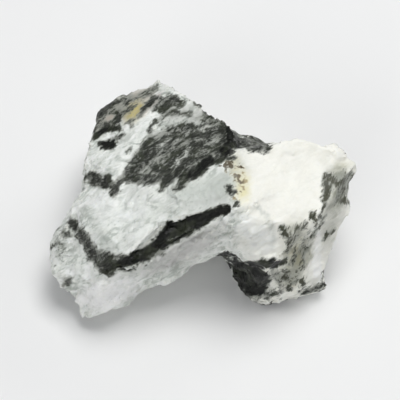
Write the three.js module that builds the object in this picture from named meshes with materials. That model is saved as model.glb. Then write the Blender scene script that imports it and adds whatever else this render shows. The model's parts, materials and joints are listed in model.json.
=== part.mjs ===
import * as THREE from "three";
import { mergeGeometries, mergeVertices } from "three/addons/utils/BufferGeometryUtils.js";
import { ImprovedNoise } from "three/addons/math/ImprovedNoise.js";

// A rough piece of zebra stone: milky white rock with a seam of black mineral, broken off with a
// hammer and left as it broke. Millimetres, +X along the stone, +Y to its back, +Z up.

const stoneLength = 68;
const stoneDepth = 51.5;
const stoneHeight = 36;

// The longest edge of a small face, once the large fracture faces are divided.
const grain = 2.5;

// How far the broken skin departs from the plain fracture faces.
const skin = {
  sway: { span: 8.5, reach: 1.8 },
  hollows: { span: 9, depth: 0.75 },
  ripples: { span: 4.2, depth: 0.4 },
  ledges: { span: 5.2, depth: 0.7, lean: new THREE.Vector3(-0.5, -0.25, 0.83).normalize() },
  topCalm: 0.65,
  lowest: 0.25,
};

// Corners where fracture faces meet, named by where they are seen from the front.
const corners = {
  // the upper slope, which falls from the ridge to the left
  ridgeFront: [6, -17, 35],
  ridgeBack: [6, -4, 36],
  ridgeNotch: [5.5, 2.5, 33.5],
  crownRight: [-1.5, 11, 31],
  crown: [-10.5, 18, 28.5],
  crownLeft: [-19.5, 15.5, 25.5],
  shoulderBack: [-23, 13.5, 23.5],
  shoulderMiddle: [-25.5, 5, 23.5],
  shoulderFront: [-28, -8, 22],
  slopeWaist: [-17.5, -2.5, 26.5],
  slopeMiddle: [-7.5, -8, 31],
  slopeLedge: [-0.5, -5.5, 34],

  // the black seam between the upper slope and the front wall
  seamTopRight: [-0.5, -17, 32.5],
  seamPeak: [-8, -18, 29.5],
  seamTopMiddle: [-15, -23, 25.5],
  seamTip: [-21, -27, 21],
  seamLowRight: [1, -19, 30],
  seamLowMiddle: [-8, -22, 26],
  seamLowLeft: [-15, -25, 22.5],
  ridgeFoot: [6.5, -19, 33],

  // the left lobe
  lobeTop: [-31, -12.5, 19.5],
  lobeEnd: [-35, -17, 13],
  lobeChin: [-32.5, -21, 9.5],
  lobeTurn: [-26, -17.5, 22],
  frontTip: [-27, -28.5, 4],

  // the lower edge of the front wall, which rises to the right over a hollow
  brinkLeft: [-21.5, -28, 4.5],
  brinkMiddle: [-14, -24.5, 8],
  brinkHigh: [-5, -22, 12.5],
  brinkTop: [4, -20, 18],

  // the right block
  blockEdge: [15, -19, 31.5],
  blockCorner: [18, -21.5, 29.5],
  blockCheek: [16.5, -24, 25.5],
  blockLip: [13.5, -24.5, 21.5],
  blockChip: [8.5, -22.5, 19.5],
  blockSide: [22.5, -18.5, 30.5],
  spurFront: [26, -14, 31.5],
  spurWaist: [28, -9.5, 31.5],
  spurTip: [33.5, -5.5, 30.5],
  spurBack: [27.5, -2, 33],
  tableBack: [20, -0.5, 34],
  tableLeft: [13.5, -2.5, 34.5],
  tableMiddle: [15.5, -10.5, 33.8],
  wallTop: [30.8, -8, 25],
  wallMiddle: [30, -12, 18],
  wallLow: [27.5, -18.5, 8],
  faceWaist: [23.5, -18, 18],
  toeRight: [26, -21.5, 3],
  toeMiddle: [22, -24, 2],
  toeFront: [17.5, -24.5, 2.5],
  toeLeft: [10.5, -23, 4],

  // the back and the left, between the top and the foot
  backRight: [29.5, 0, 15],
  backBlock: [24, 8, 17],
  backMiddle: [12, 9.5, 14],
  backHollow: [3, 11, 19],
  backBulge: [-4, 19, 13],
  backLeft: [-15, 22, 15],
  sideBack: [-24, 13, 9],
  sideMiddle: [-27, -1, 13],
  sideFront: [-32, -13, 8],

  // the foot, which is one flat fracture
  footTip: [-25, -25.5, 0],
  footLeft: [-15, -18.5, 0],
  footHollow: [-5, -10, 0],
  footArch: [3.5, -7, 0],
  footInner: [7.2, -17.5, 0],
  footToe: [12, -22.5, 0],
  footFront: [21, -23, 0],
  footCorner: [25.5, -19, 0],
  footRight: [28, -4, 0],
  footBlock: [24, 12, 0],
  footBack: [9, 16, 0],
  footBulge: [-7, 20.5, 0],
  footShoulder: [-19, 16, 0],
  footSide: [-25.5, 2, 0],
  footLobe: [-29, -12, 0],
};

// Each fracture face: its rim, anticlockwise from outside, and how far its middle swells out (or, if
// negative, is hollowed by the blow that broke it).
const faces = [
  // top
  { swell: 0.5, rim: "ridgeFront ridgeBack slopeLedge slopeMiddle seamPeak seamTopRight" },
  { swell: 1.3, rim: "seamPeak slopeMiddle slopeWaist shoulderFront lobeTurn seamTip seamTopMiddle" },
  { swell: -0.6, rim: "ridgeBack ridgeNotch crownRight slopeLedge" },
  { swell: -1.1, rim: "slopeLedge crownRight crown slopeWaist slopeMiddle" },
  { swell: 0.6, rim: "slopeWaist crown crownLeft shoulderBack shoulderMiddle shoulderFront" },
  { swell: 0.5, rim: "ridgeFront blockEdge tableMiddle tableLeft ridgeBack" },
  { swell: 0.6, rim: "blockEdge blockCorner blockSide spurFront spurWaist tableMiddle" },
  { swell: 0.5, rim: "spurWaist tableBack tableLeft tableMiddle" },
  { swell: 0.3, rim: "spurWaist spurTip spurBack tableBack" },

  // front
  { swell: -0.8, rim: "ridgeFront seamTopRight seamLowRight ridgeFoot" },
  { swell: -1.1, rim: "seamTopRight seamPeak seamLowMiddle seamLowRight" },
  { swell: -1.1, rim: "seamPeak seamTopMiddle seamLowLeft seamLowMiddle" },
  { swell: -0.6, rim: "seamTopMiddle seamTip seamLowLeft" },
  { swell: 0.8, rim: "seamTip frontTip brinkLeft brinkMiddle seamLowLeft" },
  { swell: 0.6, rim: "seamLowLeft brinkMiddle brinkHigh seamLowMiddle" },
  { swell: 0.4, rim: "seamLowMiddle brinkHigh brinkTop ridgeFoot seamLowRight" },
  { swell: 0.9, rim: "ridgeFoot brinkTop blockChip blockLip blockCheek blockCorner blockEdge" },
  { swell: 0.2, rim: "ridgeFront ridgeFoot blockEdge" },
  { swell: 0.4, rim: "blockCorner blockCheek toeFront toeMiddle faceWaist spurFront blockSide" },
  { swell: -0.7, rim: "blockCheek blockLip toeLeft toeFront" },
  { swell: -0.8, rim: "brinkTop footInner toeLeft blockLip blockChip" },
  { swell: 0.5, rim: "spurTip spurWaist spurFront faceWaist wallMiddle wallTop" },
  { swell: 0.4, rim: "faceWaist toeMiddle toeRight wallLow wallMiddle" },

  // under the front edges
  { swell: -0.8, rim: "frontTip footTip footLeft brinkMiddle brinkLeft" },
  { swell: -1.2, rim: "brinkMiddle footLeft footHollow footArch brinkTop brinkHigh" },
  { swell: -0.6, rim: "brinkTop footArch footInner" },
  { swell: 0, rim: "toeLeft footInner footToe toeFront" },
  { swell: 0, rim: "toeFront footToe footFront toeMiddle" },
  { swell: 0, rim: "toeMiddle footFront footCorner toeRight" },

  // left
  { swell: 1.1, rim: "shoulderFront lobeTop lobeEnd lobeChin frontTip seamTip lobeTurn" },
  { swell: 0.4, rim: "lobeEnd sideFront lobeChin" },
  { swell: -0.4, rim: "lobeChin sideFront footLobe footTip frontTip" },
  { swell: 0.5, rim: "lobeTop sideMiddle sideFront lobeEnd" },
  { swell: -1.4, rim: "shoulderFront shoulderMiddle sideMiddle lobeTop" },
  { swell: 0.5, rim: "sideMiddle footSide footLobe sideFront" },
  { swell: 0.9, rim: "shoulderMiddle shoulderBack sideBack sideMiddle" },
  { swell: -0.7, rim: "sideMiddle sideBack footShoulder footSide" },

  // back
  { swell: 0.8, rim: "shoulderBack crownLeft backLeft sideBack" },
  { swell: -0.6, rim: "crownLeft crown backLeft" },
  { swell: 0.9, rim: "sideBack backLeft footBulge footShoulder" },
  { swell: -2, rim: "crown crownRight backHollow backBulge backLeft" },
  { swell: 0.6, rim: "backLeft backBulge footBulge" },
  { swell: -0.6, rim: "crownRight ridgeNotch backHollow" },
  { swell: -1.6, rim: "backHollow backMiddle footBack footBulge backBulge" },
  { swell: 0.7, rim: "ridgeNotch ridgeBack tableLeft backMiddle backHollow" },
  { swell: 1, rim: "tableLeft tableBack backBlock backMiddle" },
  { swell: -1.2, rim: "tableBack spurBack backBlock" },
  { swell: 0.8, rim: "backMiddle backBlock footBlock footBack" },
  { swell: 0.7, rim: "spurBack spurTip backRight backBlock" },
  { swell: 0.6, rim: "backBlock backRight footRight footBlock" },
  { swell: 0.5, rim: "spurTip wallTop wallMiddle backRight" },
  { swell: -1.2, rim: "backRight wallMiddle wallLow footRight" },
  { swell: 0.4, rim: "wallLow toeRight footCorner footRight" },
];

const footRim = "footTip footLobe footSide footShoulder footBulge footBack footBlock footRight "
  + "footCorner footFront footToe footInner footArch footHollow footLeft";

const noise = new ImprovedNoise();

function noiseAt(point, span, shift) {
  return noise.noise(point.x / span + shift, point.y / span - shift, point.z / span + 2 * shift);
}

function cornerPoints(names) {
  return names.split(" ").map((name) => new THREE.Vector3(...corners[name]));
}

// Halves the longest edge again and again until every small face is within the grain.
function divide(a, b, c, triangles) {
  const edges = [[a, b, c], [b, c, a], [c, a, b]];
  const lengthOf = ([start, end]) => start.point.distanceTo(end.point);
  edges.sort((one, two) => lengthOf(two) - lengthOf(one));
  const [start, end, tip] = edges[0];
  if (lengthOf(edges[0]) <= grain) {
    triangles.push([a, b, c]);
    return;
  }
  const middle = {
    point: start.point.clone().add(end.point).multiplyScalar(0.5),
    inward: (start.inward + end.inward) / 2,
  };
  divide(start, middle, tip, triangles);
  divide(middle, end, tip, triangles);
}

// One fracture face as small faces, raised or hollowed towards its middle.
function fractureFace({ rim, swell }) {
  const rimPoints = cornerPoints(rim);
  const middle = new THREE.Vector3();
  rimPoints.forEach((point) => middle.addScaledVector(point, 1 / rimPoints.length));
  const outward = new THREE.Vector3();
  const triangles = [];
  rimPoints.forEach((start, i) => {
    const end = rimPoints[(i + 1) % rimPoints.length];
    outward.add(start.clone().sub(middle).cross(end.clone().sub(middle)));
    const centre = { point: middle, inward: 1 };
    divide(centre, { point: start, inward: 0 }, { point: end, inward: 0 }, triangles);
  });
  outward.normalize();
  return triangles.map((triangle) => triangle.map(({ point, inward }) => (
    point.clone().addScaledVector(outward, swell * inward * (2 - inward))
  )));
}

// The uneven run of a fracture, which moves corners and edges sideways. The foot keeps its level.
function swayed(point) {
  const { span, reach } = skin.sway;
  const onFoot = point.z < 1e-6;
  const sway = new THREE.Vector3(
    noiseAt(point, span, 1.3),
    noiseAt(point, span, 4.9),
    onFoot ? 0 : noiseAt(point, span, 7.7),
  );
  return point.clone().addScaledVector(sway, reach);
}

// How far a point of the skin stands out: shell-like hollows, fine ripples and stepped ledges.
function relief(point) {
  const { hollows, ripples, ledges } = skin;
  const hollow = 0.35 - Math.abs(noiseAt(point, hollows.span, 3.7)) * 2;
  const ripple = noiseAt(point, ripples.span, 9.1);
  const rise = point.dot(ledges.lean) / ledges.span + noiseAt(point, 2 * ledges.span, 5.3);
  const tread = THREE.MathUtils.smoothstep(rise - Math.floor(rise), 0, 0.8);
  return hollows.depth * hollow + ripples.depth * ripple + ledges.depth * (tread - 0.5);
}

// The broken skin above the foot, open below.
function brokenSkin() {
  const plain = new THREE.BufferGeometry().setFromPoints(faces.flatMap(fractureFace).flat());
  const geometry = mergeVertices(plain, 1e-3);
  geometry.computeVertexNormals();
  const { position, normal } = geometry.attributes;
  for (let i = 0; i < position.count; i += 1) {
    const point = new THREE.Vector3().fromBufferAttribute(position, i);
    const outward = new THREE.Vector3().fromBufferAttribute(normal, i);
    const moved = swayed(point);
    if (point.z > 1e-6) {
      const calm = skin.topCalm * THREE.MathUtils.smoothstep(outward.z, 0.4, 0.9);
      moved.addScaledVector(outward, relief(point) * (1 - calm));
      moved.z = Math.max(moved.z, skin.lowest);
    }
    position.setXYZ(i, ...moved);
  }
  geometry.deleteAttribute("normal");
  return geometry.toNonIndexed();
}

// The flat foot, filled between the same edge points as the skin's lower rim.
function footFace() {
  const names = cornerPoints(footRim);
  const rim = names.flatMap((start, i) => {
    const end = names[(i + 1) % names.length];
    const steps = 2 ** Math.max(0, Math.ceil(Math.log2(start.distanceTo(end) / grain)));
    return Array.from({ length: steps }, (_, step) => swayed(start.clone().lerp(end, step / steps)));
  });
  const outline = rim.map(({ x, y }) => new THREE.Vector2(x, y));
  const triangles = THREE.ShapeUtils.triangulateShape(outline, []).map(([a, b, c]) => {
    const turn = outline[b].clone().sub(outline[a]).cross(outline[c].clone().sub(outline[a]));
    return turn < 0 ? [rim[a], rim[b], rim[c]] : [rim[a], rim[c], rim[b]];
  });
  return new THREE.BufferGeometry().setFromPoints(triangles.flat());
}

function stoneGeometry() {
  const geometry = mergeVertices(mergeGeometries([brokenSkin(), footFace()]), 1e-3);
  geometry.computeBoundingBox();
  const box = geometry.boundingBox;
  const centre = box.getCenter(new THREE.Vector3());
  const size = box.getSize(new THREE.Vector3());
  geometry.translate(-centre.x, -centre.y, -box.min.z);
  geometry.scale(stoneLength / size.x, stoneDepth / size.y, stoneHeight / size.z);
  return geometry;
}

const stoneMaterial = new THREE.MeshStandardMaterial({ color: 0xe9e9e2, roughness: 0.6, metalness: 0 });
const stone = new THREE.Mesh(stoneGeometry(), stoneMaterial);
stone.name = "zebra_stone";

const model = new THREE.Group();
model.add(stone);

export default model;
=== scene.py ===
import bpy
import json
import math
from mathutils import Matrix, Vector

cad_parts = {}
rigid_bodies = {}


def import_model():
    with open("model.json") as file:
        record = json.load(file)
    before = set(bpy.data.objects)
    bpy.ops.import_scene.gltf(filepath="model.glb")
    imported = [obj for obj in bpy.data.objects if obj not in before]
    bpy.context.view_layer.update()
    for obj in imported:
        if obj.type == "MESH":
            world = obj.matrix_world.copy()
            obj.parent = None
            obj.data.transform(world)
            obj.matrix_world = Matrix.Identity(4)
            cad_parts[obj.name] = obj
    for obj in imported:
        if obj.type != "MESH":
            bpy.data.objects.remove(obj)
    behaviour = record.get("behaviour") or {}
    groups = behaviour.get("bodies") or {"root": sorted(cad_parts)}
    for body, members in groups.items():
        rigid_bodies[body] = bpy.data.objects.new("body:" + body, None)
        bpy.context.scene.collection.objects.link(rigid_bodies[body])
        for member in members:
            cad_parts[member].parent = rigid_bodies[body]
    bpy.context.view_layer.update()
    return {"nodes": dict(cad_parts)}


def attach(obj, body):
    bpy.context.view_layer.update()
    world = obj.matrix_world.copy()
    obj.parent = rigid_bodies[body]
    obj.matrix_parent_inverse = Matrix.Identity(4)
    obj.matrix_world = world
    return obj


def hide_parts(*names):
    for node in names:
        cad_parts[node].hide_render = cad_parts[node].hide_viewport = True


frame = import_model()
mm = 0.001

# The stone lies as it is seen from the front and above. Its markings are placed in millimetres
# across (to the right) and up (to the back and up), square to that line of sight.
seenFrom = {"elevation": 61}        # degrees above the level
lean = math.radians(seenFrom["elevation"])
acrossAxis = Vector((1, 0, 0))
upAxis = Vector((0, math.sin(lean), math.cos(lean)))
sightAxis = Vector((0, -math.cos(lean), math.sin(lean)))
plumbAxis = Vector((0, 0, 1))


# Camera, light and floor

cameraSetup = {
    "lens": 200,
    "frameWidth": 90 * mm,      # what the picture's width takes in at the stone
    "aim": (-0.3 * mm, 0, 12.5 * mm),
}


def makeCamera(setup):
    camera = bpy.data.cameras.new("camera")
    camera.lens = setup["lens"]
    holder = bpy.data.objects.new("camera", camera)
    bpy.context.scene.collection.objects.link(holder)
    reach = setup["frameWidth"] * camera.lens / camera.sensor_width
    holder.location = Vector(setup["aim"]) + sightAxis * reach
    holder.rotation_euler = (math.radians(90) - lean, 0, 0)
    bpy.context.scene.camera = holder


lightSetup = {
    "sky": (0.93, 0.95, 1.0),
    "skyStrength": 0.29,
    "lamps": [
        # place and size in metres
        {"name": "overhead", "place": (0.10, 0.10, 0.62), "size": 0.30, "watts": 2.52},
        {"name": "backRight", "place": (0.45, 0.38, 0.40), "size": 0.25, "watts": 0.45},
        {"name": "front", "place": (-0.30, -0.56, 0.42), "size": 0.40, "watts": 1.16},
    ],
}


def makeLight(setup):
    world = bpy.data.worlds.new("studio")
    bpy.context.scene.world = world
    world.use_nodes = True
    sky = world.node_tree.nodes["Background"]
    sky.inputs["Color"].default_value = (*setup["sky"], 1)
    sky.inputs["Strength"].default_value = setup["skyStrength"]
    for lamp in setup["lamps"]:
        light = bpy.data.lights.new(lamp["name"], "AREA")
        light.size = lamp["size"]
        light.energy = lamp["watts"]
        holder = bpy.data.objects.new(lamp["name"], light)
        bpy.context.scene.collection.objects.link(holder)
        holder.location = lamp["place"]
        holder.rotation_euler = (-Vector(lamp["place"])).to_track_quat("-Z", "Y").to_euler()


floorSetup = {"width": 6.0, "paint": (0.88, 0.88, 0.87), "roughness": 0.9}


def makeFloor(setup):
    bpy.ops.object.select_all(action="DESELECT")
    bpy.ops.mesh.primitive_plane_add(size=setup["width"], location=(0, 0, 0))
    floor = bpy.context.object
    floor.name = "floor"
    paint = bpy.data.materials.new("floorPaint")
    paint.use_nodes = True
    skin = paint.node_tree.nodes["Principled BSDF"]
    skin.inputs["Base Color"].default_value = (*setup["paint"], 1)
    skin.inputs["Roughness"].default_value = setup["roughness"]
    floor.data.materials.append(paint)


makeCamera(cameraSetup)
makeLight(lightSetup)
makeFloor(floorSetup)
bpy.context.scene.view_settings.view_transform = "Standard"
print("camera, light and floor are in place")


# Node work, for the stone's relief and for its material alike

# One output of a node. Sums, differences and products of wires add Math nodes to its tree.
class Wire:
    def __init__(self, work, socket):
        self.work = work
        self.socket = socket

    def output(self, name):
        return Wire(self.work, self.socket.node.outputs[name])

    def __add__(self, other):
        return self.work.maths("ADD", self, other)

    def __sub__(self, other):
        return self.work.maths("SUBTRACT", self, other)

    def __rsub__(self, other):
        return self.work.maths("SUBTRACT", other, self)

    def __mul__(self, other):
        return self.work.maths("MULTIPLY", self, other)

    __radd__ = __add__
    __rmul__ = __mul__


# From one number or wire to another, by a share from 0 to 1.
def blend(first, second, share):
    return first + (second - first) * share


class NodeWork:
    def __init__(self, tree):
        self.tree = tree

    # a node of any type: its settings first, then the values or wires of its sockets
    def add(self, kind, settings=None, sockets=None, output=0):
        node = self.tree.nodes.new(kind)
        for name, value in (settings or {}).items():
            setattr(node, name, value)
        for name, value in (sockets or {}).items():
            if isinstance(value, Wire):
                self.tree.links.new(value.socket, node.inputs[name])
            else:
                node.inputs[name].default_value = value
        return Wire(self, node.outputs[output])

    def maths(self, operation, first, second=0):
        return self.add("ShaderNodeMath", {"operation": operation}, {0: first, 1: second})

    def clamped(self, value):
        return self.add("ShaderNodeClamp", None, {"Value": value})

    def smaller(self, first, second):
        return self.maths("MINIMUM", first, second)

    def larger(self, first, second):
        return self.maths("MAXIMUM", first, second)

    # runs smoothly from 0 at low to 1 at high, or down if low is the larger one
    def ramp(self, value, low, high):
        sockets = {"Value": value, "From Min": low, "From Max": high}
        if low > high:
            sockets.update({"From Min": high, "From Max": low, "To Min": 1.0, "To Max": 0.0})
        return self.add("ShaderNodeMapRange", {"interpolation_type": "SMOOTHSTEP"}, sockets)

    def vectors(self, operation, first, second=(0, 0, 0), output="Vector"):
        settings = {"operation": operation}
        return self.add("ShaderNodeVectorMath", settings, {0: first, 1: second}, output)

    def added(self, first, second):
        return self.vectors("ADD", first, second)

    def apart(self, first, second):
        return self.vectors("SUBTRACT", first, second)

    def length(self, vector):
        return self.vectors("LENGTH", vector, output="Value")

    def dot(self, first, second):
        return self.vectors("DOT_PRODUCT", first, second, "Value")

    def scaled(self, vector, scale):
        sockets = {0: vector, "Scale": scale}
        return self.add("ShaderNodeVectorMath", {"operation": "SCALE"}, sockets)

    def joined(self, x, y, z=0.0):
        return self.add("ShaderNodeCombineXYZ", None, {0: x, 1: y, 2: z})

    # the place measured along three directions, each in its own unit of length
    def turned(self, place, directions, units):
        return self.joined(*(self.dot(place, direction / unit)
                             for direction, unit in zip(directions, units)))

    def colours(self, share, first, second):
        return self.add("ShaderNodeMix", {"data_type": "RGBA"}, {0: share, 6: first, 7: second}, 2)

    def noise(self, place, span, detail=2.0, roughness=0.5, distortion=0.0):
        sockets = {"Vector": place, "Scale": 1 / span, "Detail": detail,
                   "Roughness": roughness, "Distortion": distortion}
        return self.add("ShaderNodeTexNoise", None, sockets, "Fac")

    # noise that swings by reach to either side of 0
    def sway(self, place, reach, **noise):
        return (self.noise(place, **noise) - 0.5) * (2 * reach)

    # spots where noise rises between two levels
    def spots(self, place, between, **noise):
        return self.ramp(self.noise(place, **noise), *between)

    # a random colour as a direction, each part of it from -0.5 to 0.5
    def leaning(self, colour):
        return self.apart(colour, (0.5, 0.5, 0.5))

    # a push of up to reach that changes its direction from place to place
    def push(self, place, span, reach):
        colour = self.add("ShaderNodeTexNoise", None, {"Vector": place, "Scale": 1 / span}, "Color")
        return self.scaled(self.leaning(colour), 2 * reach)

    def cells(self, place, span, output, feature="F1", **sockets):
        sockets = {"Vector": place, "Scale": 1 / span, **sockets}
        return self.add("ShaderNodeTexVoronoi", {"feature": feature}, sockets, output)


# Where the minerals lie

# The rock's layers run up to the right, as it is seen. The wall at the right has its own, steep ones.
slopes = {"layers": 34, "wall": 72}         # degrees


# The directions along layers of this slope, through them and inwards.
def directionsAt(slope):
    turn = math.radians(slope)
    along = acrossAxis * math.cos(turn) + upAxis * math.sin(turn)
    through = upAxis * math.cos(turn) - acrossAxis * math.sin(turn)
    return along, through, sightAxis


layerDirections = directionsAt(slopes["layers"])
wallDirections = directionsAt(slopes["wall"])

# Each marking is a line of points: across, up and half its width there, in mm. share is how much of
# it is black: below 1 the grain breaks it up, and well above 1 it stays black all over. soft
# is how far its edge runs out, in mm. The seam is sunk as well. Most markings are black mineral;
# the ones noted below are painted shadow, drawn black in the same way.
seamMarkings = {
    "seam": {
        "line": [(-21.0, -9.5, 0.33), (-19.0, -8.5, 0.85), (-16.4, -7.25, 1.2), (-14.5, -6.75, 1.4),
                 (-12.0, -5.75, 1.6), (-10.3, -4.5, 1.43), (-8.4, -2.9, 1.82), (-6.9, -1.8, 2.15),
                 (-4.7, -0.7, 2.15), (-2.6, 0.3, 1.95), (-0.4, 1.65, 1.6), (2.6, 3.4, 1.1),
                 (5.1, 4.15, 1.1)],
        "share": 1.5, "soft": 0.5},
    "seamPeak": {"line": [(-6.8, 1.1, 0.39), (-7.1, -1.3, 1.37)], "share": 1.5, "soft": 0.5},
}

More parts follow.
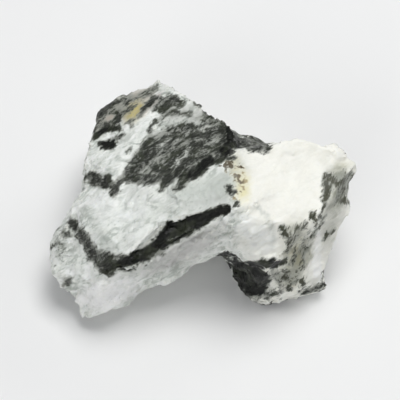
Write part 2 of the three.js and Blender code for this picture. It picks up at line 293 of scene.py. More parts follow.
markings = {
    # the seam's tail and the lobe at the left
    "seamTail": {
        "line": [(-28.8, 1.4, 0.72), (-27.1, -0.4, 1.17), (-25.6, -2.4, 1.37), (-24.3, -4.3, 1.23),
                 (-22.9, -6.3, 1.76), (-21.2, -7.8, 2.27), (-20.1, -8.9, 1.82)],
        "share": 1.05, "soft": 0.9},
    "tailBranch": {
        "line": [(-22.7, -5.1, 0.78), (-20.7, -5.7, 0.91), (-18.6, -6.5, 0.85), (-16.8, -6.1, 0.59)],
        "share": 0.85, "soft": 0.8},
    "tailFleck": {"line": [(-30.5, -2.1, 0.5), (-29.2, -1.1, 0.6)], "share": 0.7, "soft": 0.75},
    "lobeFleckOne": {
        "line": [(-34.2, -5.6, 0.4), (-33.3, -4.6, 0.4), (-32.4, -3.9, 0.35)],
        "share": 0.8, "soft": 0.45},
    "lobeFleckTwo": {
        "line": [(-30.5, -12.5, 0.8), (-28.8, -11.1, 0.7)],
        "share": 0.85, "soft": 0.75},
    "lobeShade": {"line": [(-33.0, 0.0, 1.4), (-30.5, -5.0, 1.5)], "share": 0.3, "soft": 1.5},
    "lobeMottle": {
        "line": [(-33.6, -2.1, 1.04), (-31.1, -4.1, 1.56), (-32.3, -8.0, 1.17)],
        "share": 0.36, "soft": 1.4},
    "tailSide": {"line": [(-30.5, -0.7, 0.65), (-29.3, -1.8, 0.78)], "share": 0.8, "soft": 0.7},
    # the shoulder above the lobe
    "shoulderVein": {
        "line": [(-25.8, 11.0, 0.9), (-24.2, 11.0, 1.5), (-22.5, 10.0, 1.15), (-20.6, 10.0, 1.4),
                 (-19.0, 8.6, 1.2), (-19.4, 7.5, 0.78)],
        "share": 1.0, "soft": 0.75},
    "shoulderLink": {
        "line": [(-18.6, 9.6, 0.6), (-16.7, 11.7, 0.8), (-15.5, 12.8, 1.05)],
        "share": 0.9, "soft": 0.75},
    "shoulderBridge": {
        "line": [(-19.4, 8.3, 0.85), (-18.1, 9.9, 0.65), (-17.1, 10.6, 0.65)],
        "share": 0.95, "soft": 0.6},
    # the crown
    "crownFleck": {"line": [(-16.3, 22.9, 0.4), (-15.2, 23.8, 0.4)], "share": 0.9, "soft": 0.5},
    "stripFleck": {"line": [(-16.4, 16.7, 0.45), (-15.4, 17.5, 0.35)], "share": 0.95, "soft": 0.5},
    "stripEdge": {
        "line": [(-14.6, 24.4, 0.3), (-12.2, 26.8, 0.45), (-10.4, 29.2, 0.4)],
        "share": 0.7, "soft": 0.6},
    "crownSlope": {
        "line": [(-4.6, 31.2, 0.7), (-1.8, 28.8, 0.9), (0.6, 26.8, 0.8)],
        "share": 0.66, "soft": 0.9},
    "crownShade": {
        "line": [(-1.0, 23.2, 1.3), (2.0, 23.8, 1.9), (4.8, 22.2, 1.5)],
        "share": 0.78, "soft": 1.1},
    "crownRim": {
        "line": [(-23.8, 21.3, 0.65), (-23.2, 24.3, 0.91), (-21.7, 27.0, 1.1), (-18.6, 28.0, 0.85),
                 (-15.8, 29.1, 0.65)],
        "share": 0.9, "soft": 0.9},
    "crownField": {
        "line": [(-22.5, 23.2, 1.69), (-20.1, 25.4, 2.34), (-17.1, 26.5, 1.69)],
        "share": 0.7, "soft": 0.9},
    "crownCurve": {
        "line": [(-23.8, 20.1, 0.72), (-22.0, 21.4, 1.04), (-19.9, 21.9, 1.04), (-18.2, 21.8, 0.72)],
        "share": 1.25, "soft": 0.7},
    "crownBlack": {
        "line": [(-19.3, 26.1, 0.78), (-18.5, 24.4, 0.85), (-19.4, 23.1, 0.65)],
        "share": 1.0, "soft": 0.6},
    "crownTop": {
        "line": [(-14.1, 29.1, 0.78), (-12.1, 30.1, 1.1), (-10.3, 31.0, 0.72)],
        "share": 0.82, "soft": 0.8},
    "crownLow": {"line": [(-16.3, 23.1, 0.52), (-15.5, 22.4, 0.45)], "share": 0.85, "soft": 0.5},
    "crownPatch": {
        "line": [(-8.2, 26.0, 1.3), (-7.1, 27.8, 1.43), (-5.4, 27.8, 1.43)],
        "share": 0.84, "soft": 1.1},
    "spot": {"line": [(-21.6, 18.2, 1.17), (-20.2, 18.5, 1.3)], "share": 1.3, "soft": 0.5},
    "spotTail": {"line": [(-19.1, 19.5, 0.45), (-17.3, 20.5, 0.39)], "share": 0.95, "soft": 0.5},
    "crownGrey": {
        "line": [(-7.7, 25.1, 1.43), (-5.8, 24.9, 1.43), (-1.7, 24.0, 1.04)],
        "share": 0.72, "soft": 1.0},
    "crownMid": {
        "line": [(-17.5, 27.7, 0.59), (-16.3, 28.2, 0.72), (-14.5, 28.6, 0.59)],
        "share": 0.9, "soft": 0.6},
    "crownRose": {
        "line": [(-13.8, 24.7, 0.59), (-12.1, 26.9, 0.78), (-10.2, 28.8, 0.72)],
        "share": 1.0, "soft": 0.5},
    "crownSide": {"line": [(-3.0, 28.4, 0.45), (-3.8, 27.5, 0.39)], "share": 0.7, "soft": 0.5},
    "crownSpeck": {"line": [(-15.6, 26.1, 0.33), (-14.7, 27.1, 0.39)], "share": 0.85, "soft": 0.5},
    "crownStem": {
        "line": [(-7.8, 28.4, 0.52), (-9.1, 27.8, 0.72), (-10.2, 26.8, 0.65), (-11.1, 25.6, 0.39)],
        "share": 0.95, "soft": 0.6},
    # the dark patch
    "patch": {
        "line": [(-14.9, 12.8, 1.69), (-12.6, 14.3, 3.12), (-9.7, 16.1, 4.81), (-6.7, 16.2, 5.85),
                 (-2.8, 17.3, 5.46), (1.1, 19.8, 4.81), (4.4, 21.3, 3.58)],
        "share": 0.92, "soft": 1.4},
    "patchEdge": {
        "line": [(-15.2, 14.9, 0.59), (-12.9, 18.6, 0.78), (-10.3, 22.1, 0.72), (-8.4, 24.1, 0.72)],
        "share": 0.72, "soft": 0.7},
    "patchToothOne": {"line": [(-8.6, 8.4, 0.6), (-7.0, 10.6, 1.4)], "share": 1.06, "soft": 0.75},
    "patchToothTwo": {"line": [(-5.6, 8.2, 0.6), (-3.4, 10.6, 1.2)], "share": 1.0, "soft": 0.75},
    "patchWedge": {"line": [(-0.4, 13.2, 1.0), (1.8, 14.7, 1.2)], "share": 1.3, "soft": 0.6},
    "patchTop": {
        "line": [(-6.9, 21.8, 0.59), (-3.0, 22.7, 0.91), (-0.2, 23.2, 0.91)],
        "share": 0.95, "soft": 0.9},
    "patchFoot": {
        "line": [(-17.7, 10.6, 0.65), (-14.7, 11.0, 1.3), (-11.2, 10.6, 1.49), (-8.6, 10.9, 1.04)],
        "share": 0.98, "soft": 0.8},
    "patchHeel": {
        "line": [(-4.5, 11.2, 0.91), (-1.7, 11.7, 1.3), (0.6, 12.9, 0.9)],
        "share": 1.2, "soft": 0.8},
    "patchCorner": {"line": [(-11.6, 21.2, 0.59), (-10.0, 23.2, 0.78)], "share": 1.05, "soft": 0.6},
    "patchKnot": {"line": [(-5.1, 20.1, 0.98), (-3.4, 19.9, 0.91)], "share": 1.15, "soft": 0.8},
    # around the level face
    # painted shadow: black in the notch between the crown and the level face
    "notchShadow": {
        "line": [(4.8, 16.7, 1.3), (7.0, 18.4, 1.7), (6.6, 21.7, 1.45)],
        "share": 1.3, "soft": 0.6},
    # painted shadow: black on the back slope behind the level face
    "notchBackShadow": {
        "line": [(8.3, 18.7, 1.45), (10.9, 18.1, 1.7), (13.8, 17.5, 1.15)],
        "share": 1.0, "soft": 0.75},
    "junctionLow": {"line": [(5.9, 8.9, 0.65), (6.5, 8.0, 0.78)], "share": 0.98, "soft": 0.5},
    "junctionEnd": {"line": [(7.2, 5.3, 0.59), (7.9, 5.0, 0.39)], "share": 0.95, "soft": 0.4},
    # painted shadow at the top of the junction, under the notch
    "junctionTopShadow": {
        "line": [(3.3, 14.9, 0.85), (5.2, 15.4, 0.98), (6.9, 15.2, 0.59)],
        "share": 0.9, "soft": 0.7},
    # painted shadow: black along the crown's rim at the back right
    "backRimShadow": {
        "line": [(-1.2, 27.1, 0.59), (1.4, 25.3, 0.85), (4.4, 23.5, 0.98)],
        "share": 1.15, "soft": 0.8},
    # under the block, and along the foot
    "ledgeCrack": {
        "line": [(4.1, -6.1, 0.6), (5.7, -5.7, 0.45), (7.6, -6.5, 0.5), (9.2, -7.6, 0.5)],
        "share": 1.4, "soft": 0.45},
    # black mineral under the block, made darker still as painted shade where the block overhangs
    "underBlockAndShade": {
        "line": [(4.9, -7.0, 0.59), (7.4, -9.3, 1.89), (10.2, -10.8, 3.12), (11.8, -12.4, 3.25)],
        "share": 1.45, "soft": 0.9},
    # painted shade along the underside of the block's front edge, on black mineral
    "underCornerAndShade": {
        "line": [(8.0, -8.2, 0.78), (12.2, -8.2, 1.2), (15.4, -7.6, 1.3), (17.6, -7.2, 0.78)],
        "share": 1.35, "soft": 0.5},
    "underMix": {"line": [(15.0, -9.4, 1.17), (17.0, -11.2, 2.08)], "share": 0.6, "soft": 1.3},
    "toeRing": {
        "line": [(19.5, -13.7, 0.39), (19.9, -12.0, 0.45), (21.7, -11.4, 0.39), (22.6, -12.9, 0.45),
                 (21.5, -14.5, 0.39)],
        "share": 0.95, "soft": 0.5},
    # painted shadow: black at the toe's lower right corner
    "toeCornerShadow": {
        "line": [(23.0, -15.1, 0.72), (25.2, -13.9, 0.78), (27.3, -12.9, 0.65)],
        "share": 1.05, "soft": 0.7},
    "footMix": {
        "line": [(12.5, -15.5, 1.04), (15.0, -14.8, 1.3), (16.9, -14.6, 0.65)],
        "share": 0.62, "soft": 1.2},
}

# the marking of the steep wall and of the toe, with streaks of its own
wallMarkings = {
    # the wall
    "wallTop": {
        "line": [(28.8, 10.2, 1.5), (31.4, 10.6, 2.0), (31.2, 7.8, 1.8), (30.7, 5.8, 1.0)],
        "share": 0.64, "soft": 1.2},
    "wallOuter": {"line": [(32.3, 8.7, 0.72), (32.2, 4.8, 0.65)], "share": 0.5, "soft": 1.0},
    "wallSpot": {"line": [(24.0, 3.2, 0.52), (24.1, 2.2, 0.59)], "share": 1.0, "soft": 0.5},
    "wallStreakOne": {
        "line": [(25.7, 2.4, 0.45), (24.9, 0.1, 0.45), (23.2, -1.8, 0.39), (22.1, -3.4, 0.39)],
        "share": 0.72, "soft": 0.5},
    "wallRing": {
        "line": [(27.1, -2.8, 0.52), (27.9, -1.2, 0.65), (29.5, -0.9, 0.52)],
        "share": 0.78, "soft": 0.9},
    "wallStreakTwo": {"line": [(23.0, -4.3, 0.4), (22.6, -7.6, 0.45)], "share": 0.7, "soft": 0.6},
    "wallFleck": {"line": [(26.5, -10.2, 0.45), (26.6, -11.5, 0.45)], "share": 0.75, "soft": 0.5},
    "wallShade": {
        "line": [(29.5, 10.0, 0.72), (32.6, 11.7, 0.72), (32.2, 10.0, 0.59)],
        "share": 0.82, "soft": 0.9},
    "wallFold": {
        "line": [(27.0, 11.0, 1.0), (27.0, 8.0, 1.15), (26.7, 4.9, 0.8), (26.1, 1.9, 0.45)],
        "share": 0.92, "soft": 0.8},
    "wallInner": {"line": [(26.2, 1.9, 0.52), (24.5, -1.7, 0.45)], "share": 0.8, "soft": 0.7},
    # the toe
    "toeMottle": {
        "line": [(18.0, -0.5, 1.43), (20.2, -1.3, 2.21), (21.4, -3.4, 2.34), (21.0, -6.9, 2.47),
                 (20.0, -10.4, 2.47)],
        "share": 0.51, "soft": 1.3},
    "toeRidge": {"line": [(22.5, 1.3, 0.52), (20.6, -1.1, 0.52)], "share": 0.6, "soft": 0.6},
    "toeLine": {
        "line": [(23.5, -4.1, 0.45), (22.5, -6.3, 0.52), (22.3, -8.5, 0.45)],
        "share": 0.9, "soft": 0.5},
    "toeFoot": {"line": [(18.7, -9.3, 1.04), (18.9, -11.2, 0.78)], "share": 0.85, "soft": 0.8},
    "toeNeedleOne": {"line": [(18.9, -2.0, 0.33), (19.5, -4.7, 0.39)], "share": 1.1, "soft": 0.35},
    "toeNeedleTwo": {"line": [(20.6, -4.6, 0.33), (20.1, -7.8, 0.39)], "share": 1.1, "soft": 0.35},
    "toeNeedleThree": {
        "line": [(18.3, -6.7, 0.39), (18.9, -8.6, 0.33)],
        "share": 1.1, "soft": 0.35},
    "toeTip": {
        "line": [(17.0, 0.4, 0.59), (18.0, -1.5, 0.72), (19.1, -3.3, 0.52)],
        "share": 0.95, "soft": 0.6},
}

# white threads that run through the black mineral: share is how much of the black they take away
threads = {
    "threadOne": {
        "line": [(-12.8, 12.3, 0.35), (-8.6, 16.5, 0.4), (-4.7, 19.6, 0.45), (-1.5, 21.4, 0.35)],
        "share": 0.32, "soft": 0.6},
    "threadTwo": {
        "line": [(-2.8, 13.9, 0.35), (-0.2, 16.9, 0.4), (3.1, 19.1, 0.4)],
        "share": 0.3, "soft": 0.6},
    "threadThree": {
        "line": [(-10.4, 22.3, 0.35), (-7.6, 23.9, 0.55), (-2.4, 23.8, 0.5)],
        "share": 0.8, "soft": 0.5},
    "threadFour": {
        "line": [(-4.6, 29.0, 0.45), (-2.4, 27.0, 0.5), (-0.6, 25.4, 0.8)],
        "share": 0.75, "soft": 0.5},
    "crownEye": {"line": [(-21.0, 24.0, 0.59), (-20.4, 24.4, 0.59)], "share": 0.85, "soft": 0.4},
    "seamThread": {"line": [(-7.2, -2.6, 0.25), (-3.4, -0.2, 0.25)], "share": 0.35, "soft": 0.3},
    "underThread": {"line": [(8.8, -13.7, 0.39), (9.7, -13.9, 0.52)], "share": 0.4, "soft": 0.4},
    "toeEye": {"line": [(20.6, -13.3, 0.59), (21.4, -12.9, 0.52)], "share": 0.9, "soft": 0.4},
    "crownArc": {
        "line": [(-23.6, 19.1, 0.33), (-21.6, 20.4, 0.39), (-19.3, 20.9, 0.39), (-17.5, 21.0, 0.33)],
        "share": 0.9, "soft": 0.4},
    "patchLight": {
        "line": [(-10.0, 21.9, 0.52), (-7.3, 23.1, 0.78), (-3.7, 23.8, 0.78), (-0.4, 23.2, 0.59)],
        "share": 0.72, "soft": 0.7},
    "underEye": {"line": [(14.3, -9.1, 0.59), (14.8, -9.9, 0.45)], "share": 0.6, "soft": 0.5},
    "underEyeTwo": {"line": [(16.0, -12.2, 0.65), (16.7, -12.9, 0.45)], "share": 0.55, "soft": 0.5},
    "toeThread": {"line": [(21.5, -1.5, 0.33), (21.0, -4.3, 0.39)], "share": 0.8, "soft": 0.4},
    "toeThreadTwo": {"line": [(19.6, -5.6, 0.33), (19.3, -8.5, 0.39)], "share": 0.8, "soft": 0.4},
    "patchSpot": {"line": [(-8.9, 18.2, 0.78), (-6.9, 20.0, 0.72)], "share": 0.5, "soft": 0.8},
    "patchStreak": {
        "line": [(-6.4, 12.2, 0.59), (-4.7, 14.7, 0.78), (-2.6, 17.1, 0.65)],
        "share": 0.5, "soft": 0.7},
    "patchShore": {"line": [(-15.5, 16.7, 0.78), (-12.8, 19.7, 0.65)], "share": 0.5, "soft": 0.8},
    "patchGleam": {"line": [(-0.4, 21.3, 0.59), (1.8, 21.9, 0.59)], "share": 0.45, "soft": 0.6},
}

# stains on the white mineral, with painted light and shade among them: share is how much of the paint
# there is in the middle; a speckled one lies in small spots. Some whiten faces that are lit, as
# painted light, and some darken faces that lie in shade, as painted shade.
stainsAndPaintedLight = {
    "crownUmber": {
        "line": [(-22.7, 22.7, 1.69), (-19.7, 25.6, 2.6), (-16.2, 27.1, 2.47), (-12.1, 29.7, 1.69)],
        "share": 0.72, "soft": 1.2, "paint": "a69b8c"},
    "ochre": {
        "line": [(-15.7, 25.1, 1.7), (-14.1, 26.6, 1.8)],
        "share": 0.9, "soft": 1.4, "paint": "b5aa76"},
    "ochreCore": {
        "line": [(-15.0, 25.2, 0.5), (-14.4, 26.4, 0.6)],
        "share": 0.8, "soft": 0.9, "paint": "cdc07a"},
    "rose": {
        "line": [(-13.4, 25.2, 0.52), (-11.2, 27.1, 0.52), (-9.3, 29.1, 0.45)],
        "share": 0.75, "soft": 0.6, "paint": "a08d88"},
    "slopeGrey": {
        "line": [(-6.4, 25.2, 2.4), (0.4, 25.0, 2.4)],
        "share": 0.5, "soft": 1.4, "paint": "a5a6a0"},
    "beige": {
        "line": [(6.9, 14.3, 1.23), (8.4, 11.5, 1.56), (8.3, 8.3, 1.3)],
        "share": 0.7, "soft": 1.4, "paint": "d1cbaa"},
    "yellow": {
        "line": [(9.3, 10.0, 1.04), (8.7, 6.7, 1.23)],
        "share": 0.7, "soft": 1.4, "paint": "e3ddb0"},
    "tan": {
        "line": [(5.4, 13.6, 1.3), (7.5, 12.7, 1.37), (8.3, 10.2, 1.1), (7.4, 6.9, 0.91)],
        "share": 0.62, "soft": 0.9, "paint": "b6aa88", "speckled": True},
    "brown": {
        "line": [(5.0, 13.6, 1.23), (7.2, 13.0, 1.3), (8.0, 10.9, 1.1), (7.4, 7.5, 0.85)],
        "share": 0.39, "soft": 0.7, "paint": "685b43", "speckled": True},
    "brownTop": {
        "line": [(4.3, 13.4, 0.65), (6.3, 13.4, 0.85), (8.3, 13.2, 0.52)],
        "share": 1.1, "soft": 0.5, "paint": "5d5340", "speckled": True},
    "spur": {
        "line": [(29.5, 13.2, 1.04), (33.0, 13.9, 0.78)],
        "share": 0.7, "soft": 1.2, "paint": "c6c5b0"},
    "wallGrey": {
        "line": [(29.6, 10.6, 2.6), (29.8, 7.6, 2.5), (29.4, 5.4, 1.6)],
        "share": 0.85, "soft": 1.4, "paint": "8f9182"},
    "wallRun": {
        "line": [(28.6, 5.6, 1.2), (28.1, 2.6, 1.3), (28.3, -0.6, 1.6), (28.2, -2.4, 1.4)],
        "share": 0.46, "soft": 1.1, "paint": "a9ab9e"},
    "wallLine": {
        "line": [(24.5, 0.4, 0.33), (23.9, -4.4, 0.45), (23.3, -8.6, 0.33)],
        "share": 0.7, "soft": 0.6, "paint": "94978a"},
    "wallSnow": {
        "line": [(25.8, 1.4, 0.4), (25.4, -3.2, 0.7), (25.2, -8.8, 1.0), (26.8, -13.0, 0.7)],
        "share": 1.1, "soft": 0.8, "paint": "fcfcf7"},
    "toeOlive": {
        "line": [(20.0, -0.8, 2.21), (20.8, -5.6, 2.99), (19.7, -10.8, 2.6)],
        "share": 0.7, "soft": 1.8, "paint": "b9b9a5"},
    # painted shade across the middle of the front wall, below the overhang, over a grey band of the
    # rock
    "frontGreyAndShade": {
        "line": [(-11.6, -9.2, 1.0), (-4.0, -6.0, 1.9), (2.0, -2.4, 1.2)],
        "share": 0.75, "soft": 2.4, "paint": "c0bebb"},
    # grey of the rock and painted shade on the upper right of the sloping face
    "slopeAshAndShade": {
        "line": [(-3.0, 7.4, 1.8), (4.6, 9.6, 2.6)],
        "share": 0.7, "soft": 2.6, "paint": "c8cdc5"},
    "lobeAsh": {
        "line": [(-13.0, 1.6, 1.2), (-8.0, 4.4, 1.6)],
        "share": 0.5, "soft": 2.4, "paint": "c8cdc5"},
    # whiter mineral and painted light on the low front face at the left, which faces up
    "snowAndLight": {
        "line": [(-27.0, -16.0, 1.0), (-21.5, -15.0, 3.4), (-17.0, -13.2, 2.4)],
        "share": 1.3, "soft": 1.6, "paint": "fdfdfa"},
    # whiter mineral and painted light on the block's front face
    "snowBlockAndLight": {
        "line": [(9.8, 0.4, 2.0), (13.0, -2.6, 2.8)],
        "share": 0.9, "soft": 1.6, "paint": "fafbf7"},
    "toeTan": {
        "line": [(20.4, -4.7, 0.78), (21.3, -7.7, 0.98)],
        "share": 0.8, "soft": 1.0, "paint": "b3ab84"},
    "blockCurve": {
        "line": [(11.3, 4.7, 0.33), (13.9, 2.6, 0.45), (15.4, -0.7, 0.45), (15.3, -3.9, 0.39)],
        "share": 0.55, "soft": 0.7, "paint": "b4bab3"},
    # whiter mineral and painted light on the lobe
    "lobeSnowAndLight": {
        "line": [(-22.3, 4.8, 2.6), (-15.8, 2.8, 3.25), (-12.5, -1.1, 1.95)],
        "share": 0.55, "soft": 2.6, "paint": "f1f4f0"},
    "stripSnow": {
        "line": [(-20.3, 13.2, 1.56), (-15.8, 17.8, 1.56), (-11.2, 23.6, 1.17)],
        "share": 0.12, "soft": 1.2, "paint": "f7faf6"},
    "blockAsh": {
        "line": [(8.3, 1.5, 1.95), (12.2, -2.4, 2.6)],
        "share": 0.2, "soft": 2.4, "paint": "c3cac3"},
    "riseAsh": {
        "line": [(-4.7, 7.4, 1.56), (3.1, 8.7, 2.21)],
        "share": 0.5, "soft": 2.4, "paint": "bfc5be"},
    # painted shade on the face just above the seam
    "seamShoreShade": {
        "line": [(-6.7, 2.7, 0.65), (-0.8, 5.0, 1.04), (4.8, 6.6, 1.23)],
        "share": 0.6, "soft": 1.6, "paint": "bdc1bb"},
    # painted shade on the front wall just below the seam
    "frontShoreShade": {
        "line": [(-8.0, -5.9, 0.65), (-2.1, -2.5, 0.98), (3.7, 0.8, 1.1)],
        "share": 0.6, "soft": 1.5, "paint": "bab9b6"},
    "tailAsh": {
        "line": [(-22.6, -0.7, 1.17), (-20.0, -4.0, 1.43)],
        "share": 0.5, "soft": 2.0, "paint": "bfc5be"},
    # painted shade just below the left part of the seam
    "seamFootShade": {
        "line": [(-15.1, -9.2, 0.78), (-12.2, -6.9, 1.17), (-9.3, -5.1, 0.78)],
        "share": 0.55, "soft": 1.6, "paint": "b4b3b0"},
}

# how ragged the markings' edges are: how far they wander along the layers and through them, in mm
edgeWander = {
    "noise": {"span": 1.7, "detail": 3, "roughness": 0.75},
    "along": 1.7,
    "through": 0.9,
    "elsewhere": (31.7, 11.3, 5.1),     # where the noise for the second way is read, in mm away
}
# how far they stray on faces that are seen at a slant, in mm
sideWander = {
    "push": {"span": 8.0, "reach": 4.5},
    "slant": (0.6, 0.2),        # from not at all to fully, by the cosine to the line of sight
}


# A node group: how far a point lies outside a stroke with round ends that may differ in width, in mm.
def makeStroke():
    tree = bpy.data.node_groups.new("stroke", "GeometryNodeTree")
    for name, kind in (("spot", "Vector"), ("start", "Vector"), ("run", "Vector"), ("along", "Vector"),
                       ("width", "Float"), ("widening", "Float")):
        tree.interface.new_socket(name, in_out="INPUT", socket_type="NodeSocket" + kind)
    tree.interface.new_socket("gap", in_out="OUTPUT", socket_type="NodeSocketFloat")
    work = NodeWork(tree)
    given = work.add("NodeGroupInput")
    offset = work.apart(given.output("spot"), given.output("start"))
    share = work.clamped(work.dot(offset, given.output("along")))
    nearest = work.scaled(given.output("run"), share)
    halfWidth = share * given.output("widening") + given.output("width")
    gap = work.length(work.apart(offset, nearest)) - halfWidth
    tree.links.new(gap.socket, tree.nodes.new("NodeGroupOutput").inputs[0])
    return tree


stroke = makeStroke()


def strokeDistance(work, spot, start, end):
    run = Vector((end[0] - start[0], end[1] - start[1], 0))
    sockets = {"spot": spot, "start": (start[0], start[1], 0), "run": run,
               "along": run / run.length_squared, "width": start[2], "widening": end[2] - start[2]}
    return work.add("GeometryNodeGroup", {"node_tree": stroke}, sockets)


def shareOfMark(work, spot, mark):
    line = mark["line"]
    nearest = strokeDistance(work, spot, line[0], line[1])
    for start, end in zip(line[1:], line[2:]):
        nearest = work.smaller(nearest, strokeDistance(work, spot, start, end))
    return work.ramp(nearest, mark["soft"], -mark["soft"]) * mark["share"]


def shareOfMarks(work, spot, marks):
    shares = [shareOfMark(work, spot, mark) for mark in marks.values()]
    total = shares[0]
    for share in shares[1:]:
        total = work.larger(total, share)
    return total


# The same place, moved about so that what is drawn there gets ragged edges.
def wandered(work, place, setup):
    drift = work.sway(place, setup["along"], **setup["noise"])
    shift = work.sway(work.added(place, setup["elsewhere"]), setup["through"], **setup["noise"])
    along, through = layerDirections[:2]
    moved = work.added(place, work.scaled(along, drift))
    return work.added(moved, work.scaled(through, shift))


def seenSpot(work, place):
    return work.joined(work.dot(place, acrossAxis), work.dot(place, upAxis))


# Noise that is drawn out. Its size is in mm along the layers, through them and inwards.
def layerNoise(work, place, size, directions=layerDirections, **noise):
    return work.noise(work.turned(place, directions, size), span=1, **noise)


def layerSpots(work, place, between, **noise):
    return work.ramp(layerNoise(work, place, **noise), *between)


# The stone's broken surface

stoneShape = {
    "mergeWithin": 0.02 * mm,
    "sharpAngle": 34,           # degrees; steeper folds between small faces stay sharp
    "smoothing": 2,             # subdivisions before the remesh
    "voxel": 0.37 * mm,
    "shadingAngle": 35,         # degrees; steeper edges of the finished surface are shaded as edges
    "footBand": 0.3,            # mm above the ground that the flat foot takes in
    "calm": {
        # level faces, and spots elsewhere, keep only a little of the relief
        "keeps": 0.06,
        "levelness": (0.84, 0.93),      # from rough to smooth, by the cosine to the plumb line
        "spots": {"span": 9.0, "between": (0.52, 0.6)},
    },
    "warp": {"span": 5.0, "reach": 2.4},        # how far chips and ledges wander, in mm
    "chips": [
        # flat chips: their size in mm along the layers, through them and inwards, and their lean
        {"size": (9.0, 4.5, 7.0), "lean": 0.13},
        {"size": (3.4, 1.7, 2.6), "lean": 0.11},
    ],
    "chipBlend": 0.06,          # how softly they meet
    "ledges": [
        # broken edges of thin layers: at which levels of the noise, and how high in mm
        {"size": (17.0, 2.4, 15.0), "between": (0.52, 0.55), "height": 0.26},
        {"size": (11.0, 1.3, 9.0), "between": (0.56, 0.59), "height": 0.16},
    ],
    "ledgeDetail": 3,
    "ribs": {
        # fine ribs around points that blows struck, so many mm apart
        "blowSpan": 14.0,
        "span": 1.7,
        "waver": {"span": 4.0, "turn": 8},      # turn in radians
        "spots": {"span": 6.0, "between": (0.45, 0.65)},
        "height": 0.04,
    },
    # crags all over and on the black mineral, from hollow to tip in mm
    "crags": {"size": (2.2, 0.8, 2.2), "detail": 3, "roughness": 0.6},
    "cragHeight": 0.08,
    "blackCragHeight": 0.48,
    "seamDepth": 0.5,
    "edgeBlur": 10,             # how much the surface is smoothed to find where it stands out
    "bruise": {
        # edges that stand out this far, in mm, are knocked off in spots
        "edge": (0.05, 0.3),
        "spots": {"span": 2.6, "between": (0.5, 0.62)},
        "depth": 0.5,
    },
    # where the surface turns away from the front, black bands take the place of what is drawn
    "turning": {"noise": {"span": 4.0, "detail": 3}, "reach": 0.35, "between": (-0.12, 0.1)},
    "bands": {"size": (20.0, 6.0, 26.0), "between": (0.5, 0.58), "detail": 4, "roughness": 0.55},
    "bandShare": 0.85,
}


def pickOnly(piece):
    bpy.ops.object.select_all(action="DESELECT")
    piece.select_set(True)
    bpy.context.view_layer.objects.active = piece


# A free copy of a CAD node, without the node's own properties and with its triangles joined.
def copyOfNode(name, newName, mergeWithin):
    node = frame["nodes"][name]
    piece = node.copy()
    piece.data = node.data.copy()
    piece.name = newName
    piece.parent = None
    for key in list(piece.keys()):
        del piece[key]
    bpy.context.scene.collection.objects.link(piece)
    piece.data.materials.clear()
    pickOnly(piece)
    bpy.ops.object.mode_set(mode="EDIT")
    bpy.ops.mesh.select_all(action="SELECT")
    bpy.ops.mesh.remove_doubles(threshold=mergeWithin)
    bpy.ops.object.mode_set(mode="OBJECT")
    return piece


def addModifier(piece, kind, **settings):
    modifier = piece.modifiers.new(kind.lower(), kind)
    for key, value in settings.items():
        setattr(modifier, key, value)


def applyModifiers(piece):
    pickOnly(piece)
    for modifier in list(piece.modifiers):
        bpy.ops.object.modifier_apply(modifier=modifier.name)


def keepFoldsSharp(piece, angle):
    pickOnly(piece)
    bpy.ops.object.mode_set(mode="EDIT")
    bpy.ops.mesh.select_mode(type="EDGE")
    bpy.ops.mesh.select_all(action="DESELECT")
    bpy.ops.mesh.edges_select_sharp(sharpness=math.radians(angle))
    bpy.ops.transform.edge_crease(value=1)
    bpy.ops.object.mode_set(mode="OBJECT")


# The remesh can leave loose crumbs beside the foot. What hangs together with the top stays.
def dropCrumbs(piece):
    pickOnly(piece)
    bpy.ops.object.mode_set(mode="EDIT")
    bpy.ops.mesh.select_mode(type="VERT")
    bpy.ops.mesh.select_all(action="DESELECT")
    bpy.ops.object.mode_set(mode="OBJECT")
    points = piece.data.vertices
    topPoint = max(range(len(points)), key=lambda index: points[index].co.z)
    points[topPoint].select = True
    bpy.ops.object.mode_set(mode="EDIT")
    bpy.ops.mesh.select_linked()
    bpy.ops.mesh.select_all(action="INVERT")
    bpy.ops.mesh.delete(type="VERT")
    bpy.ops.object.mode_set(mode="OBJECT")


# A surface in a modifier's tree. Its points keep what is worked out for them, under a name.
class Surface:
    def __init__(self, name):
        self.tree = bpy.data.node_groups.new(name, "GeometryNodeTree")
        for way in ("INPUT", "OUTPUT"):
            self.tree.interface.new_socket("Geometry", in_out=way, socket_type="NodeSocketGeometry")
        self.work = NodeWork(self.tree)
        self.geometry = self.work.add("NodeGroupInput")

    def keep(self, name, field, kind="FLOAT"):
        settings = {"data_type": kind, "domain": "POINT"}
        sockets = {"Geometry": self.geometry, "Name": name, "Value": field}
        self.geometry = self.work.add("GeometryNodeStoreNamedAttribute", settings, sockets)
        return self.work.add("GeometryNodeInputNamedAttribute", {"data_type": kind}, {"Name": name})

    def moveTo(self, place):
        sockets = {"Geometry": self.geometry, "Position": place}
        self.geometry = self.work.add("GeometryNodeSetPosition", None, sockets)
        self.tree.links.new(self.geometry.socket, self.tree.nodes.new("NodeGroupOutput").inputs[0])


# How far the surface stands out from its smoothed self, in mm: edges are above 0, hollows below.
def standingOut(work, place, normal, blur):
    smooth = work.add("GeometryNodeBlurAttribute", {"data_type": "FLOAT_VECTOR"},
                      {"Value": place, "Iterations": blur})
    return work.dot(work.apart(place, smooth), normal)


# Flat chips, each leaning its own way about its middle.
def chipRelief(work, place, chip, smoothness):
    spot = work.turned(place, layerDirections, chip["size"])
    cell = work.cells(spot, 1, "Color", "SMOOTH_F1", Smoothness=smoothness)
    offset = work.apart(spot, cell.output("Position"))
    thickness = chip["size"][1]
    return work.dot(offset, work.leaning(cell)) * (2 * chip["lean"] * thickness)


# Layers that end in a thin broken edge.
def ledgeRelief(work, place, ledge, detail):
    sheets = layerSpots(work, place, ledge["between"], size=ledge["size"], detail=detail)
    return sheets * ledge["height"]


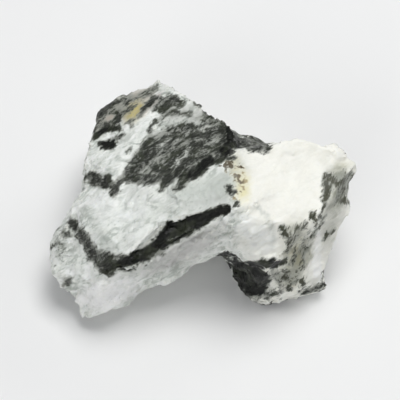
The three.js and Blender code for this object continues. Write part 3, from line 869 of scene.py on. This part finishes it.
def ribRelief(work, place, ribs):
    blow = work.cells(place, ribs["blowSpan"], "Position")
    reach = work.length(work.apart(place, blow))
    waver = work.noise(place, ribs["waver"]["span"]) * ribs["waver"]["turn"]
    wave = work.maths("SINE", reach * (2 * math.pi / ribs["span"]) + waver)
    return wave * work.spots(place, **ribs["spots"]) * ribs["height"]


# What each point holds of the minerals, of each stain and of each mark of painted light and shade. Its
# black share also carries the marks that are painted shadow.
def keepMinerals(surface, place, facing, shape):
    work = surface.work
    slanted = work.ramp(facing, *sideWander["slant"])
    stray = work.scaled(work.push(place, **sideWander["push"]), slanted)
    drawnAt = seenSpot(work, wandered(work, work.added(place, stray), edgeWander))
    spot = surface.keep("spot", drawnAt, "FLOAT_VECTOR")
    turning = shape["turning"]
    fade = facing + work.sway(place, turning["reach"], **turning["noise"])
    front = surface.keep("front", work.ramp(fade, *turning["between"]))
    seam = surface.keep("seam", shareOfMarks(work, spot, seamMarkings) * front)
    wall = surface.keep("wall", shareOfMarks(work, spot, wallMarkings) * front)
    drawn = work.larger(shareOfMarks(work, spot, markings) * front, work.larger(wall, seam))
    bands = layerSpots(work, place, **shape["bands"]) * shape["bandShare"]
    threaded = 1 - shareOfMarks(work, spot, threads)
    black = surface.keep("black", work.larger(drawn, bands * (1 - front)) * threaded)
    # stains, and the painted light and shade among them, each kept under its own name
    for name, overlay in stainsAndPaintedLight.items():
        surface.keep(name, shareOfMark(work, spot, overlay) * front)
    return black, seam


# How far each point moves out, in mm, before the seam and the bruises are taken off.
def roughRelief(work, place, normal, black, shape):
    calm = shape["calm"]
    levelFaces = work.ramp(work.dot(normal, plumbAxis), *calm["levelness"])
    smooth = work.larger(levelFaces, work.spots(place, **calm["spots"]))
    lively = 1 - smooth * (1 - calm["keeps"])
    warped = work.added(place, work.push(place, **shape["warp"]))
    relief = ribRelief(work, place, shape["ribs"])
    for chip in shape["chips"]:
        relief = relief + chipRelief(work, warped, chip, shape["chipBlend"])
    for ledge in shape["ledges"]:
        relief = relief + ledgeRelief(work, warped, ledge, shape["ledgeDetail"])
    crags = layerNoise(work, place, **shape["crags"]) - 0.5
    blackCrags = crags * (black * shape["blackCragHeight"])
    return (relief + crags * shape["cragHeight"]) * lively + blackCrags


def breakSurface(piece, shape):
    surface = Surface("brokenSurface")
    work = surface.work
    inMillimetres = work.scaled(work.add("GeometryNodeInputPosition"), 1 / mm)
    place = surface.keep("place", inMillimetres, "FLOAT_VECTOR")
    normal = work.add("GeometryNodeInputNormal")
    edge = surface.keep("edge", standingOut(work, place, normal, shape["edgeBlur"]))
    black, seam = keepMinerals(surface, place, work.dot(normal, sightAxis), shape)
    relief = roughRelief(work, place, normal, black, shape)
    bruise = shape["bruise"]
    knocked = work.ramp(edge, *bruise["edge"]) * work.spots(place, **bruise["spots"])
    relief = relief - seam * shape["seamDepth"] - knocked * bruise["depth"]
    relief = surface.keep("relief", relief)

    # the foot is pressed flat on the ground
    moved = work.added(place, work.scaled(normal, relief))
    moved = work.add("ShaderNodeSeparateXYZ", None, {0: moved})
    height = moved.output("Z")
    lifted = height * work.maths("GREATER_THAN", height, shape["footBand"])
    surface.moveTo(work.scaled(work.joined(moved.output("X"), moved.output("Y"), lifted), mm))
    addModifier(piece, "NODES", node_group=surface.tree)
    applyModifiers(piece)


def makeStone(shape):
    stone = copyOfNode("zebra_stone", "brokenStone", shape["mergeWithin"])
    keepFoldsSharp(stone, shape["sharpAngle"])
    addModifier(stone, "SUBSURF", levels=shape["smoothing"], render_levels=shape["smoothing"])
    addModifier(stone, "REMESH", mode="VOXEL", voxel_size=shape["voxel"])
    applyModifiers(stone)
    dropCrumbs(stone)
    breakSurface(stone, shape)
    pickOnly(stone)
    bpy.ops.object.shade_smooth_by_angle(angle=math.radians(shape["shadingAngle"]))
    return stone


stone = makeStone(stoneShape)
print("the stone's surface is broken:", len(stone.data.polygons), "faces")


# The rock itself: white mineral with black grains

rockPaint = {
    # black grains in clusters: size is in mm along the layers, through them and inwards
    "clusters": {"size": (6.0, 2.6, 4.8), "detail": 3, "roughness": 0.6, "distortion": 1.2},
    "flecks": {"size": (1.8, 0.75, 1.6), "detail": 4, "roughness": 0.75, "distortion": 1.2},
    "fleckShare": 0.55,                     # of the grain; the rest of it is clusters
    "wall": (0.05, 0.2),                    # where the wall's own streaks take the flecks' place
    "wallStreaks": {"size": (2.9, 0.6, 1.3), "detail": 3, "roughness": 0.62},
    "wallStreakShare": 0.85,
    "wallCrispness": 0.7,
    "grainLevels": (0.36, 0.62),
    "crispEdge": (-0.16, 0.32),
    "softEdge": (-0.3, 0.46),               # where black is mixed with white
    "mixed": (1.25, 0.95),                  # the shares of black at which it gets mixed
    "faintest": (0.02, 0.16),               # below the first share there is no black at all

    # white mineral. A tint comes in between two values of what it follows, up to its share.
    "milk": "e9ece6",
    "clouds": {"size": (6.5, 2.6, 5.0), "detail": 4, "roughness": 0.62, "distortion": 0.8},
    "ash": {"paint": "c2c6bf", "between": (0.42, 0.68), "share": 0.9},
    "mottleShare": 0.4,                     # flecks in the white's mottling; the rest is clusters
    "frost": {"paint": "f7f8f5", "between": (0.5, 0.6), "share": 0.8},
    "haze": {"paint": "b4bab2", "between": (0.49, 0.4), "share": 0.85},
    # darker in hollows and lighter on edges, by how far the surface stands out from its smoothed self
    "hollows": {"paint": "a9a698", "between": (-0.06, -0.25), "share": 0.4},
    "edges": {"paint": "f4f3ea", "between": (0.04, 0.2), "share": 0.3},
    "besideBlack": {"paint": "999c93", "between": (0.1, 0.8), "share": 0.9},
    "levelFace": {
        # the cream face at the right comes in between so many mm across, give or take reach
        "paint": "f4f3ea",
        "share": 0.85,
        "between": (6, 11),
        "reach": 4,
        "span": 7.0,
        "behind": 0.35,         # how much of its cream the hidden sides have
    },
    "blotches": {"between": (0.38, 0.6), "least": 0.55, "more": 0.6},       # of the stains, and of the painted light and shade among them
    "specks": {"span": 1.2, "detail": 3, "roughness": 0.6, "between": (0.4, 0.6)},
    "speckEdge": (0, 0.3),

    # black mineral: grey fibres, grey where it is mixed with white or thin, and a little green
    "black": "0e100c",
    "fibres": {"size": (0.9, 0.27, 0.7), "detail": 2, "roughness": 0.6, "between": (0.4, 0.7)},
    "slate": {"paint": "5f625b", "least": 0.08, "more": 0.4},       # more where it is mixed
    "fog": {"paint": "6d7065", "share": 0.12},
    "thinFog": {"paint": "6d7065", "between": (0.75, 0.4), "share": 0.45},
    "lichen": {"paint": "5c5c49", "share": 0.5},
    "moss": {"paint": "3d4233", "between": (0.48, 0.64), "share": 0.5},
    "mossSpan": 3.0,

    # gloss, milkiness and the crystals' bump, in mm
    "whiteRoughness": 0.5,
    "blackRoughness": 0.38,
    "gloss": 0.25,
    "milkiness": 0.3,
    "milkDepth": 1.6 * mm,
    "milkTint": (1.0, 0.95, 0.85),
    "crystal": {"size": 0.8, "lean": 0.16},
    "grit": {"span": 0.9, "detail": 4, "roughness": 0.6},
    "gritHeight": 0.16,
    "levelFaceCalm": 0.6,
    "bumpStrength": 0.8,
}


# A colour written as on a paint chart, as Blender's linear values.
def paint(code):
    levels = [int(code[place:place + 2], 16) / 255 for place in (0, 2, 4)]
    linear = [((level + 0.055) / 1.055) ** 2.4 if level > 0.04 else level / 12.92 for level in levels]
    return (*linear, 1)


def tinted(work, colour, follows, tint):
    share = work.ramp(follows, *tint["between"]) * tint["share"]
    return work.colours(share, colour, paint(tint["paint"]))


# Small flat crystals, each leaning its own way.
def crystalRelief(work, place, crystal):
    cell = work.cells(place, crystal["size"], "Color")
    offset = work.apart(place, cell.output("Position"))
    return work.dot(offset, work.leaning(cell)) * (2 * crystal["lean"])


# How black each place is: its share of black mineral, broken up by grain along the layers.
def blackGrains(work, place, black, onWall, mixed, clusters, flecks, paints):
    streaks = layerNoise(work, place, directions=wallDirections, **paints["wallStreaks"])
    fine = blend(flecks, streaks, onWall * paints["wallStreakShare"])
    grain = blend(clusters, fine, paints["fleckShare"])
    over = black - work.ramp(grain, *paints["grainLevels"])
    crisp = work.ramp(over, *paints["crispEdge"])
    soft = work.ramp(over, *paints["softEdge"])
    dark = blend(crisp, soft, mixed * (1 - onWall * paints["wallCrispness"]))
    return dark * work.ramp(black, *paints["faintest"])


def levelFace(work, place, front, setup):
    across = work.dot(place, acrossAxis) + work.sway(place, setup["reach"], span=setup["span"])
    return work.ramp(across, *setup["between"]) * blend(setup["behind"], 1, front)


def whiteMineral(work, place, field, mottle, level, paints):
    clouds = layerNoise(work, place, **paints["clouds"])
    white = tinted(work, paint(paints["milk"]), clouds, paints["ash"])
    white = tinted(work, white, mottle, paints["frost"])
    white = tinted(work, white, mottle, paints["haze"])
    cream = paints["levelFace"]
    white = work.colours(level * cream["share"], white, paint(cream["paint"]))
    blotches = paints["blotches"]
    amount = work.ramp(mottle, *blotches["between"]) * blotches["more"] + blotches["least"]
    specks = work.spots(place, **paints["specks"])
    # stains, and the painted light and shade among them, laid over the white
    for name, overlay in stainsAndPaintedLight.items():
        if overlay.get("speckled"):
            share = work.ramp(field[name] - specks, *paints["speckEdge"])
        else:
            share = work.clamped(field[name] * amount)
        white = work.colours(share, white, paint(overlay["paint"]))
    white = tinted(work, white, field["edge"], paints["hollows"])
    white = tinted(work, white, field["edge"], paints["edges"])
    return tinted(work, white, field["black"], paints["besideBlack"])


def blackMineral(work, place, field, onWall, mixed, paints):
    slate, fog, lichen = paints["slate"], paints["fog"], paints["lichen"]
    fibres = layerSpots(work, place, **paints["fibres"]) * (mixed * slate["more"] + slate["least"])
    black = work.colours(fibres, paint(paints["black"]), paint(slate["paint"]))
    black = work.colours(mixed * fog["share"], black, paint(fog["paint"]))
    black = tinted(work, black, field["black"], paints["thinFog"])
    black = work.colours(onWall * mixed * lichen["share"], black, paint(lichen["paint"]))
    return tinted(work, black, work.noise(place, paints["mossSpan"]), paints["moss"])


def makeRock(paints):
    rock = bpy.data.materials.new("zebraRock")
    rock.use_nodes = True
    work = NodeWork(rock.node_tree)
    place = work.scaled(work.add("ShaderNodeTexCoord", output="Object"), 1 / mm)
    # what each point holds, the painted light and shade among the stains included
    field = {name: work.add("ShaderNodeAttribute", {"attribute_name": name}, output="Fac")
             for name in ("front", "black", "wall", "edge", *stainsAndPaintedLight)}
    clusters = layerNoise(work, place, **paints["clusters"])
    flecks = layerNoise(work, place, **paints["flecks"])
    mottle = blend(clusters, flecks, paints["mottleShare"])
    onWall = work.ramp(field["wall"], *paints["wall"])
    mixed = work.ramp(field["black"], *paints["mixed"])
    level = levelFace(work, place, field["front"], paints["levelFace"])

    dark = blackGrains(work, place, field["black"], onWall, mixed, clusters, flecks, paints)
    white = whiteMineral(work, place, field, mottle, level, paints)
    black = blackMineral(work, place, field, onWall, mixed, paints)
    colour = work.colours(dark, white, black)
    rough = blend(paints["whiteRoughness"], paints["blackRoughness"], dark)
    crystals = crystalRelief(work, place, paints["crystal"])
    grit = work.noise(place, **paints["grit"]) * paints["gritHeight"]
    height = (crystals + grit) * (1 - level * paints["levelFaceCalm"])
    sockets = {"Height": height, "Distance": mm, "Strength": paints["bumpStrength"]}
    bump = work.add("ShaderNodeBump", None, sockets)

    skin = rock.node_tree.nodes["Principled BSDF"]
    for name, wire in (("Base Color", colour), ("Roughness", rough), ("Normal", bump)):
        rock.node_tree.links.new(wire.socket, skin.inputs[name])
    skin.inputs["Specular IOR Level"].default_value = paints["gloss"]
    skin.inputs["Subsurface Weight"].default_value = paints["milkiness"]
    skin.inputs["Subsurface Radius"].default_value = paints["milkTint"]
    skin.inputs["Subsurface Scale"].default_value = paints["milkDepth"]
    return rock


stone.data.materials.append(makeRock(rockPaint))
print("the rock has its colours")

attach(stone, "root")
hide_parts("zebra_stone")
print("the stone rides on its frame")
